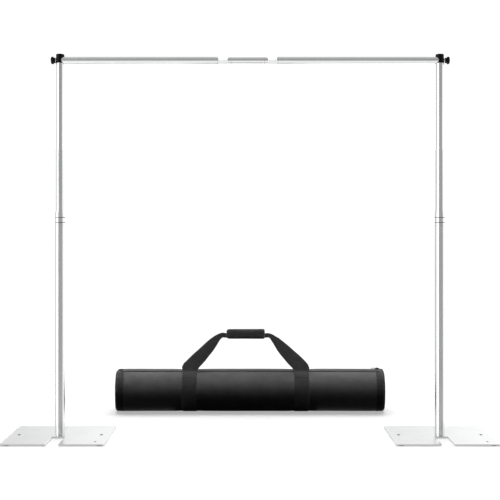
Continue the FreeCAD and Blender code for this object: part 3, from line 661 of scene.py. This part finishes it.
def build_band(web, side):
    """The band of webbing sewn round the bag at x = web, with a row of stitches along each edge."""
    skin = bmesh.new()
    lines = [band_line(web + share * WEB_WIDTH / 2, WEB / 2 + 0.0001) for share in BAND_SHARES]
    rows = []
    travelled = 0.0
    for k in range(len(lines[0])):
        if k:
            travelled += (lines[4][k] - lines[4][k - 1]).length
        row = []
        for line, share in zip(lines, BAND_SHARES):
            ahead = line[min(k + 1, len(line) - 1)] - line[max(k - 1, 0)]
            outward = Vector((0, -ahead.z, ahead.y)).normalized()
            if outward.dot(line[k] - Vector((line[k].x, BAG_Y, BAG_Z))) < 0:
                outward = -outward
            row.append((line[k], outward, (share * WEB_WIDTH / 2, travelled)))
        rows.append(row)
    add_ribbon(skin, rows, WEB)
    piece = new_piece(f"bag_{side}_web_band", to_mesh(skin, f"bag_{side}_web_band"), finishes["band_webbing_relit"])
    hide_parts(f"bag_{side}_web")
    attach(piece, "left_stand")

    thread = bmesh.new()
    for share in (-0.87, 0.87):
        line = band_line(web + share * WEB_WIDTH / 2, WEB + 0.0002)[8:-8]
        pairs = [(point, (point - Vector((point.x, BAG_Y, BAG_Z))).normalized()) for point in line
                 if point.z > 0.012]
        # no stitches under the bag: the line has a gap there
        half = next(k for k in range(1, len(pairs)) if (pairs[k][0] - pairs[k - 1][0]).length > 0.02)
        stitches(thread, pairs[:half])
        stitches(thread, pairs[half:])
    sewn = new_piece(f"bag_{side}_web_stitches", to_mesh(thread, f"bag_{side}_web_stitches"), finishes["thread"])
    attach(sewn, "left_stand")


for web, side in zip(WEB_X, ("left", "right")):
    build_band(web, side)
build_ends()

# ---------------------------------------------------------------- handle webbing

GRIP_LOW, GRIP_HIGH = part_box("bag_grip")
HANDLE_THICKNESS = WEB * 0.85
HANDLE_STEPS = 96
HANDLE_SHARES = (0, 0.03, 0.1, 0.2, 0.3, 0.4, 0.5, 0.6, 0.7, 0.8, 0.9, 0.97, 1)
MIDDLE_SHARE = HANDLE_SHARES.index(0.5)
# matching stations of the webbing's outer and inner edge on each side of the grip, in millimetres:
# distance from the middle of the band below, and height
LEFT_EDGES = [
    ((-32.5, 164), (32.5, 164)), ((-32.5, 172), (32.5, 172)), ((-33, 180), (32.6, 179)), ((-34.5, 189), (33.5, 186)),
    ((-35.5, 198), (37, 193)), ((-35.8, 207), (41, 200)), ((-29, 215.5), (47, 207)), ((-14, 230), (56, 216)),
    ((2, 246), (66, 227)), ((20, 263), (75, 238)), ((38, 279), (84, 250)), ((60, 300), (96, 264)),
    ((82, 320), (110, 283)), ((100, 334), (122, 301)), ((117, 345), (132, 318)), ((132, 352), (141, 330)),
    ((146, 356), (149, 335)), ((157, 355), (157, 334.5)), ((168, 353), (168, 334)), ((200, 353), (200, 334)),
]
RIGHT_EDGES = [
    ((32.5, 164), (-32.5, 164)), ((32.5, 172), (-32.5, 172)), ((33, 180), (-32.6, 179)), ((34.5, 188), (-33.5, 185)),
    ((36, 196), (-37, 192)), ((36, 204), (-41, 199)), ((28, 215), (-48, 206)), ((14, 230), (-58, 216)),
    ((-2, 246), (-68, 227)), ((-20, 262), (-79, 240)), ((-38, 278), (-90, 253)), ((-60, 298), (-102, 268)),
    ((-82, 316), (-114, 286)), ((-100, 330), (-124, 303)), ((-118, 341), (-134, 319)), ((-132, 349), (-142, 331)),
    ((-145, 353), (-149, 335)), ((-156, 354), (-157, 334.5)), ((-165, 353), (-166, 334)), ((-200, 353), (-200, 334)),
]


def curve_through(points, count):
    """Evenly spread points on a Catmull-Rom curve through those."""
    out = []
    for k in range(count + 1):
        place = k / count * (len(points) - 1)
        i = min(int(place), len(points) - 2)
        t = place - i
        p0, p1, p2, p3 = (points[max(0, min(len(points) - 1, i + j))] for j in (-1, 0, 1, 2))
        out.append(tuple(0.5 * (2 * b + (c - a) * t + (2 * a - 5 * b + 4 * c - d) * t * t
                                + (3 * b - a - 3 * c + d) * t ** 3) for a, b, c, d in zip(p0, p1, p2, p3)))
    return out


def handle_y(z, way):
    """How far behind the bag's axis the handle webbing is at that height, following the bag and then standing up."""
    if z < 0.184:
        tucked = 0.0022 * smooth_step(0.178, 0.163, z)
        return way * math.sqrt((BAG_R + WEB * 1.5 + 0.0006 - tucked) ** 2 - (z - BAG_Z) ** 2)
    return web_rise(z, way, 0.0006)


def handle_rows(web, edges, way):
    """One side of a handle, from its sewn end on the band at x = web up to the grip, as add_ribbon takes it."""
    outer = curve_through([pair[0] for pair in edges], HANDLE_STEPS)
    inner = curve_through([pair[1] for pair in edges], HANDLE_STEPS)
    rows = []
    travelled = 0.0
    last = None
    for (ox, oz), (ix, iz) in zip(outer, inner):
        width = math.hypot(ox - ix, oz - iz) * MM
        gather = smooth_step(0.055, 0.020, width)
        row = []
        for share in HANDLE_SHARES:
            x = web + (ox + (ix - ox) * share) * MM
            z = (oz + (iz - oz) * share) * MM
            y = handle_y(z, way)
            # gathered webbing folds lengthwise
            fold = gather * (0.0019 * math.sin(math.pi * share) + 0.0007 * math.sin(3 * math.pi * share))
            ease = smooth_step(0.19, 0.23, z) * (1 - gather)
            bow = 0.0016 * ease * math.sin(math.pi * share)
            row.append([x, BAG_Y + y + way * (fold + bow), z, share])
        middle = Vector(row[MIDDLE_SHARE][:3])
        if last is not None:
            travelled += (middle - last).length
        last = middle
        rows.append([(Vector(r[:3]), travelled, (r[3] - 0.5) * max(width, 0.055)) for r in row])
    out = []
    for i, row in enumerate(rows):
        line = []
        for j, (point, travelled, across) in enumerate(row):
            ahead = rows[min(i + 1, len(rows) - 1)][j][0] - rows[max(i - 1, 0)][j][0]
            beside = row[min(j + 1, len(row) - 1)][0] - row[max(j - 1, 0)][0]
            outward = ahead.cross(beside).normalized()
            if outward.y * way < 0:
                outward = -outward
            line.append((point, outward, (across, travelled)))
        out.append(line)
    return out


def build_handle(name, way):
    """The front (way -1) or back (way 1) handle's webbing, stitched along its edges and across its sewn ends."""
    skin, thread = bmesh.new(), bmesh.new()
    face = WEB * 0.45
    for web, edges in zip(WEB_X, (LEFT_EDGES, RIGHT_EDGES)):
        rows = handle_rows(web, edges, way)
        add_ribbon(skin, rows, HANDLE_THICKNESS)
        for column in (2, -3):
            line = [(row[column][0] + row[column][1] * face, row[column][1]) for row in rows[2:-16]]
            stitches(thread, line, length=0.0031)
        # rows of stitching that sew the handle to the band
        for k in (6, 9, 12, 15):
            line = [(point + outward * face, outward) for point, outward, _ in rows[k][1:-1]]
            stitches(thread, line, radius=0.0005)
    piece = new_piece(name, to_mesh(skin, name), finishes["webbing"])
    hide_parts(name.replace("_webbing", ""))
    sewn = new_piece(name + "_stitches", to_mesh(thread, name + "_stitches"), finishes["thread"])
    for part in (piece, sewn):
        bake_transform(part)


build_handle("bag_front_handle_webbing", -1)
build_handle("bag_back_handle_webbing", 1)

# ---------------------------------------------------------------- padded grip

CLOTH_FRAMES = 20
GRIP_RINGS, GRIP_SIDES = 140, 72
GRIP_SQUARENESS = 0.62
GRIP_UV_RADIUS = 0.0185
# how full the sleeve is along its length
GRIP_SIZES = [(0.0, 0.62), (0.008, 0.78), (0.020, 0.90), (0.038, 0.965), (0.06, 1.0), (0.2, 1.01), (0.5, 1.0),
              (0.8, 1.015), (0.97, 1.02), (0.985, 1.0), (0.996, 0.95), (1.0, 0.88)]


def swell(piece, voxel, pressure, most):
    """Blow a padded piece up by cloth pressure: voxel remesh, cloth, then every point held to its largest move."""
    remesh = piece.modifiers.new("voxels", "REMESH")
    remesh.mode, remesh.voxel_size = "VOXEL", voxel
    for step in ("remesh", "cloth", "round"):
        if step == "cloth":
            start = [vert.co.copy() for vert in piece.data.vertices]
            cloth = piece.modifiers.new("pressure", "CLOTH")
            cloth.settings.use_pressure = True
            cloth.settings.uniform_pressure_force = pressure
            cloth.settings.effector_weights.gravity = 0
            cloth.settings.quality = 6
            for frame_number in range(1, CLOTH_FRAMES + 1):
                scene.frame_set(frame_number)
        if step == "round":
            rounded = piece.modifiers.new("rounded", "SUBSURF")
            rounded.levels = rounded.render_levels = 1
        seen_piece = piece.evaluated_get(bpy.context.evaluated_depsgraph_get())
        mesh = bpy.data.meshes.new_from_object(seen_piece)
        piece.modifiers.clear()
        if step == "cloth":
            for vert, first in zip(mesh.vertices, start):
                move = vert.co - first
                if move.length > most:
                    vert.co = first + move * (most / move.length)
        piece.data = mesh
    scene.frame_set(1)


def build_grip():
    """A padded wrap: a rounded sleeve that starts slim, is swollen by cloth pressure, and is sewn near each end."""
    length = GRIP_HIGH.x - GRIP_LOW.x
    middle_y, middle_z = (GRIP_LOW.y + GRIP_HIGH.y) / 2, (GRIP_LOW.z + GRIP_HIGH.z) / 2
    half_y, half_z = (GRIP_HIGH.y - GRIP_LOW.y) / 2, (GRIP_HIGH.z - GRIP_LOW.z) / 2
    swelling = 0.0022
    rows = []
    for k in range(GRIP_RINGS + 1):
        share = k / GRIP_RINGS
        size = along(GRIP_SIZES, share)
        ring = []
        for s in range(GRIP_SIDES):
            turn = math.tau * s / GRIP_SIDES
            c, d = math.cos(turn), math.sin(turn)
            y = (half_y - swelling) * size * math.copysign(abs(c) ** GRIP_SQUARENESS, c)
            z = (half_z * 1.02 - swelling) * size * math.copysign(abs(d) ** GRIP_SQUARENESS, d)
            dent = 1 + 0.005 * noise.noise(Vector((share * 9.0, c * 1.5, d * 1.5))) \
                + 0.004 * noise.noise(Vector((share * 30.0, c * 4, d * 4)))
            ring.append(Vector((GRIP_LOW.x + 0.001 + share * (length - 0.002), middle_y + y * dent,
                                middle_z - 0.0006 + z * dent)))
        rows.append(ring)
    skin = grid(rows, closed_across=True, caps=True)
    piece = new_piece("bag_grip_wrap", to_mesh(skin, "bag_grip_wrap"), finishes["grip_cloth"])
    swell(piece, voxel=0.0042, pressure=4.0, most=0.004)
    # brought back to the CAD grip's size
    spans = [(min(vert.co[axis] for vert in piece.data.vertices), max(vert.co[axis] for vert in piece.data.vertices))
             for axis in range(3)]
    wanted = [(GRIP_LOW.x, GRIP_HIGH.x), (GRIP_LOW.y - 0.0002, GRIP_HIGH.y + 0.0002),
              (GRIP_LOW.z - 0.0009, GRIP_HIGH.z + 0.0003)]
    for vert in piece.data.vertices:
        for axis, ((low, high), (first, last)) in enumerate(zip(spans, wanted)):
            vert.co[axis] = first + (last - first) * (vert.co[axis] - low) / (high - low)
    for face in piece.data.polygons:
        face.use_smooth = True
    # the cloth's own coordinates: along the sleeve, and round it
    layer = piece.data.uv_layers.new(name="cloth")
    for face in piece.data.polygons:
        around_face = math.atan2(face.center.z - middle_z, face.center.y - middle_y)
        for loop in face.loop_indices:
            point = piece.data.vertices[piece.data.loops[loop].vertex_index].co
            around = math.atan2(point.z - middle_z, point.y - middle_y)
            around = around_face + math.remainder(around - around_face, math.tau)
            layer.data[loop].uv = (point.x, around * GRIP_UV_RADIUS)
    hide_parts("bag_grip")
    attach(piece, "bag_handle")

    # the seams lie on the swollen cloth: looked up from the sleeve's axis
    cloth_tree = BVHTree.FromPolygons([vert.co for vert in piece.data.vertices],
                                      [tuple(face.vertices) for face in piece.data.polygons])

    def on_cloth(x, turn):
        axis = Vector((x, middle_y, middle_z))
        way = Vector((0, math.cos(turn), math.sin(turn)))
        far = axis + way * 0.08
        spot, normal = cloth_tree.ray_cast(far, -way)[:2]
        return (spot + normal * 0.0001, normal)

    thread = bmesh.new()
    for x in (GRIP_LOW.x + 0.009, GRIP_HIGH.x - 0.007):
        stitches(thread, [on_cloth(x, math.tau * k / 90) for k in range(91)], radius=0.0005)
    for turn in (math.radians(205), math.radians(-22)):
        stitches(thread, [on_cloth(GRIP_LOW.x + 0.012 + (length - 0.022) * k / 60, turn) for k in range(61)],
                 radius=0.0005)
    sewn = new_piece("bag_grip_stitches", to_mesh(thread, "bag_grip_stitches"), finishes["thread"])
    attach(sewn, "bag_handle")


build_grip()

# ---------------------------------------------------------------- zip

ZIP_STEPS = 190
TAPE_LIFT = 0.0005
TAPE_THICKNESS = 0.0009
TOOTH_PITCH = 0.0026
TOOTH_SIZE = (0.0018, 0.0046, 0.0010)
TOOTH_BEVEL = 0.00025
# the coil's two rows of teeth stand this many radians either side of the top
TOOTH_TURN = 0.008


def build_zip():
    """The zip on the bag's top: tape, coil, bindings along both seams, end tabs and four rows of stitches."""
    low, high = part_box("bag_zip_tape")
    stations = [low.x + (high.x - low.x) * k / ZIP_STEPS for k in range(ZIP_STEPS + 1)]
    skin = bmesh.new()
    rows = []
    for x in stations:
        row = []
        for s in range(25):
            turn = TAPE_HALF * (s / 12 - 1)
            edge = smooth_step(1.0, 0.93, abs(s / 12 - 1))
            hem = 0.0004 * smooth_step(0.80, 0.86, abs(s / 12 - 1)) * edge
            row.append((bag_point(x, turn, TAPE_LIFT + hem), radial(turn), (x, turn * BAG_R)))
        rows.append(row)
    add_ribbon(skin, rows, TAPE_THICKNESS)
    tape = new_piece("bag_zip_tape_cloth", to_mesh(skin, "bag_zip_tape_cloth"), finishes["tape"])
    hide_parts("bag_zip_tape")
    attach(tape, "left_stand")

    teeth = bmesh.new()
    spare = 0.015
    for k in range(int((high.x - low.x - 2 * spare) / TOOTH_PITCH)):
        way = 1 if k % 2 else -1
        centre = bag_point(low.x + spare + k * TOOTH_PITCH, way * TOOTH_TURN, TAPE_LIFT + TAPE_THICKNESS)
        for vert in bmesh.ops.create_cube(teeth, size=1.0)["verts"]:
            vert.co = centre + vert.co * Vector(TOOTH_SIZE)
    bmesh.ops.bevel(teeth, geom=teeth.edges[:], offset=TOOTH_BEVEL, segments=1, affect="EDGES")
    coil = new_piece("bag_zip_coil", to_mesh(teeth, "bag_zip_coil"), finishes["zip_metal"])
    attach(coil, "left_stand")

    # a dark matte binding along each seam of the zip panel, its darkness partly painted shade of the seam's fold
    welt = bmesh.new()
    for side in (-1, 1):
        rows = []
        for x in stations:
            row = []
            for s in range(7):
                across = s / 3 - 1
                turn = side * SEAM + across * 0.003 / BAG_R
                crown = 0.0005 * (1 - across * across)
                row.append((bag_point(x, turn, 0.0012 + crown), radial(turn), (x, turn * BAG_R)))
            rows.append(row)
        add_ribbon(welt, rows, 0.0008)
    binding = new_piece("bag_zip_binding", to_mesh(welt, "bag_zip_binding"), finishes["binding"])
    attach(binding, "left_stand")

    tabs = bmesh.new()
    for start, stop in ((low.x - 0.013, low.x + 0.009), (high.x + 0.005, high.x + 0.016)):
        rows = []
        for k in range(13):
            share = k / 12
            bulge = 0.0016 * math.sin(math.pi * min(1.0, 0.12 + 0.76 * share)) ** 0.5
            row = []
            for s in range(17):
                across = s / 8 - 1
                turn = across * 0.0175 / BAG_R
                drop = 0.0012 * smooth_step(0.7, 1.0, abs(across))
                row.append((bag_point(start + (stop - start) * share, turn, 0.0013 + bulge - drop), radial(turn),
                            (share * (stop - start), turn * BAG_R)))
            rows.append(row)
        add_ribbon(tabs, rows, 0.0016)
    ends = new_piece("bag_zip_end_tabs", to_mesh(tabs, "bag_zip_end_tabs"), finishes["shaded_end_band"])
    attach(ends, "left_stand")

    thread = bmesh.new()
    spare = 0.006
    for share in (-0.84, -0.42, 0.42, 0.84):
        turn = TAPE_HALF * share
        line = []
        for k in range(ZIP_STEPS + 1):
            x = low.x + spare + (high.x - low.x - 2 * spare) * k / ZIP_STEPS
            line.append((bag_point(x, turn, TAPE_LIFT + TAPE_THICKNESS), radial(turn)))
        stitches(thread, line)
    sewn = new_piece("bag_zip_stitches", to_mesh(thread, "bag_zip_stitches"), finishes["thread"])
    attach(sewn, "left_stand")


build_zip()

# the black bag is kept out of the bright tubes' and plates' reflections
for piece in scene.objects:
    if piece.type == "MESH" and piece.name.startswith("bag_") and piece.name not in NODES:
        piece.visible_glossy = False

# ---------------------------------------------------------------- floor, light

FLOOR_RADIUS = 1.75
FLOOR_GLOW = 0.42
BACKDROP_LEVEL = 1.05
HIGH_BACK_LEVEL = 0.78
OVERHEAD_LEVEL = 0.6
GROUND_LEVEL = 0.74
ZENITH_LEVEL, ZENITH_SPREAD, DIFFUSE_FLOOR = 26.0, 11.0, 0.03
# the brightness that glossy surfaces see round the horizon: (degrees from the front, level)
PANEL_LEVELS = [
    (-180, 1.18), (-172, 1.32), (-169, 1.28), (-166, 0.90), (-158, 0.68), (-100, 0.60), (-90, 1.2), (-61, 1.3),
    (-58, 3.6), (-52, 3.6), (-49, 1.2), (-40, 1.15), (-29, 0.37), (62, 0.37), (72, 1.15), (150, 1.15),
    (163, 1.40), (166, 1.36), (169, 0.96), (172, 1.0), (180, 1.18),
]

world = bpy.data.worlds.new("studio")
scene.world = world
sky = Tree(world)
world.cycles.sampling_method = "NONE"
direction = sky.add("SeparateXYZ", {0: sky.coords("Generated")})
around = sky.math("ARCTAN2", direction.outputs[0], sky.math("MULTIPLY", direction.outputs[1], -1.0))
turned = sky.math("MULTIPLY_ADD", around, 1 / math.tau, 0.5)
panels = sky.add("ValToRGB", {0: turned})
stops = panels.color_ramp.elements
for k, (degrees, level) in enumerate(PANEL_LEVELS):
    place = degrees / 360 + 0.5
    stop = stops[0] if k == 0 else stops[-1] if k == len(PANEL_LEVELS) - 1 else stops.new(place)
    stop.position, stop.color = place, (level, level, level, 1)
front = sky.spread(direction.outputs[1], 1.0, 0.0, -0.3, 0.0)
below = sky.math("MULTIPLY", front, sky.spread(direction.outputs[2], 1.0, 0.0, -0.30, -0.24))
ground = sky.spread(direction.outputs[2], 1.0, GROUND_LEVEL, -0.62, -0.40)
low = sky.add("MixRGB", {0: below, 1: panels.outputs[0], 2: ground}).outputs[0]
back = sky.math("MULTIPLY", sky.spread(direction.outputs[1], 0.0, 1.0, 0.0, 0.2),
                sky.spread(direction.outputs[2], 0.0, 1.0, 0.32, 0.50))
low = sky.add("MixRGB", {0: back, 1: low, 2: (HIGH_BACK_LEVEL,) * 3}).outputs[0]
overhead = sky.spread(direction.outputs[2], 0.0, 1.0, 0.80, 0.95)
seen = sky.add("MixRGB", {0: overhead, 1: low, 2: (OVERHEAD_LEVEL,) * 3}).outputs[0]
# diffuse surfaces are lit from straight above, leaning a little to the back
path = sky.add("LightPath")
lean = sky.math("MULTIPLY_ADD", direction.outputs[1], 0.19, sky.math("MULTIPLY", direction.outputs[2], 0.982))
upwards = sky.math("POWER", sky.math("MAXIMUM", lean, 0.0), ZENITH_SPREAD)
zenith = sky.math("MULTIPLY_ADD", upwards, ZENITH_LEVEL, DIFFUSE_FLOOR)
soft = sky.add("MixRGB", {0: path.outputs["Is Glossy Ray"], 1: zenith, 2: seen}).outputs[0]
shown = sky.add("MixRGB", {0: path.outputs["Is Camera Ray"], 1: soft, 2: (BACKDROP_LEVEL,) * 3}).outputs[0]
sky.set(sky.nodes["Background"].inputs["Color"], shown)


def build_floor():
    """A round of pale paper under the object, a little larger than it."""
    skin = bmesh.new()
    bmesh.ops.create_circle(skin, cap_ends=True, segments=96, radius=FLOOR_RADIUS)
    floor = new_piece("studio_floor", to_mesh(skin, "studio_floor"), None, smooth=False)
    tree, shader = material("pale_floor", Roughness=0.9, Specular_IOR_Level=0.0, Emission_Color=(1.0, 1.0, 1.0),
                            Emission_Strength=FLOOR_GLOW)
    paper = tree.colours(tree.noise(tree.coords(), 30.0, 3), (0.158, 0.158, 0.158), (0.162, 0.162, 0.162))
    tree.set(shader.inputs["Base Color"], paper)
    floor.data.materials[0] = tree.owner
    floor.visible_glossy = False
    floor.visible_diffuse = False


build_floor()


def build_flag():
    """A black card on the floor before the bag, which keeps the pale floor out of the bag's reflections."""
    skin = bmesh.new()
    margin = 0.07
    left, right, near, far, z = WEB_X[0] - margin, WEB_X[1] + margin, -0.12, 0.50, 0.0001
    skin.faces.new([skin.verts.new(p) for p in ((left, near, z), (right, near, z), (right, far, z), (left, far, z))])
    flag = new_piece("studio_flag", to_mesh(skin, "studio_flag"), None, smooth=False)
    tree, shader = material("black_card", Roughness=1.0, Specular_IOR_Level=0.0)
    card = tree.colours(tree.noise(tree.coords(), 200.0, 3), (0.01, 0.01, 0.01), (0.014, 0.014, 0.014))
    tree.set(shader.inputs["Base Color"], card)
    flag.data.materials[0] = tree.owner
    for rays in ("camera", "diffuse", "shadow", "transmission", "volume_scatter"):
        setattr(flag, f"visible_{rays}", False)


build_flag()

top = bpy.data.lights.new("top_softbox", "AREA")
top.shape, top.size, top.size_y, top.energy = "RECTANGLE", 4.4, 1.8, 48
softbox = bpy.data.objects.new("top_softbox", top)
softbox.location = (0, 2.2, 2.5)
softbox.rotation_euler = (math.radians(-40), 0, 0)
softbox.visible_camera = False
softbox.visible_glossy = False
scene.collection.objects.link(softbox)
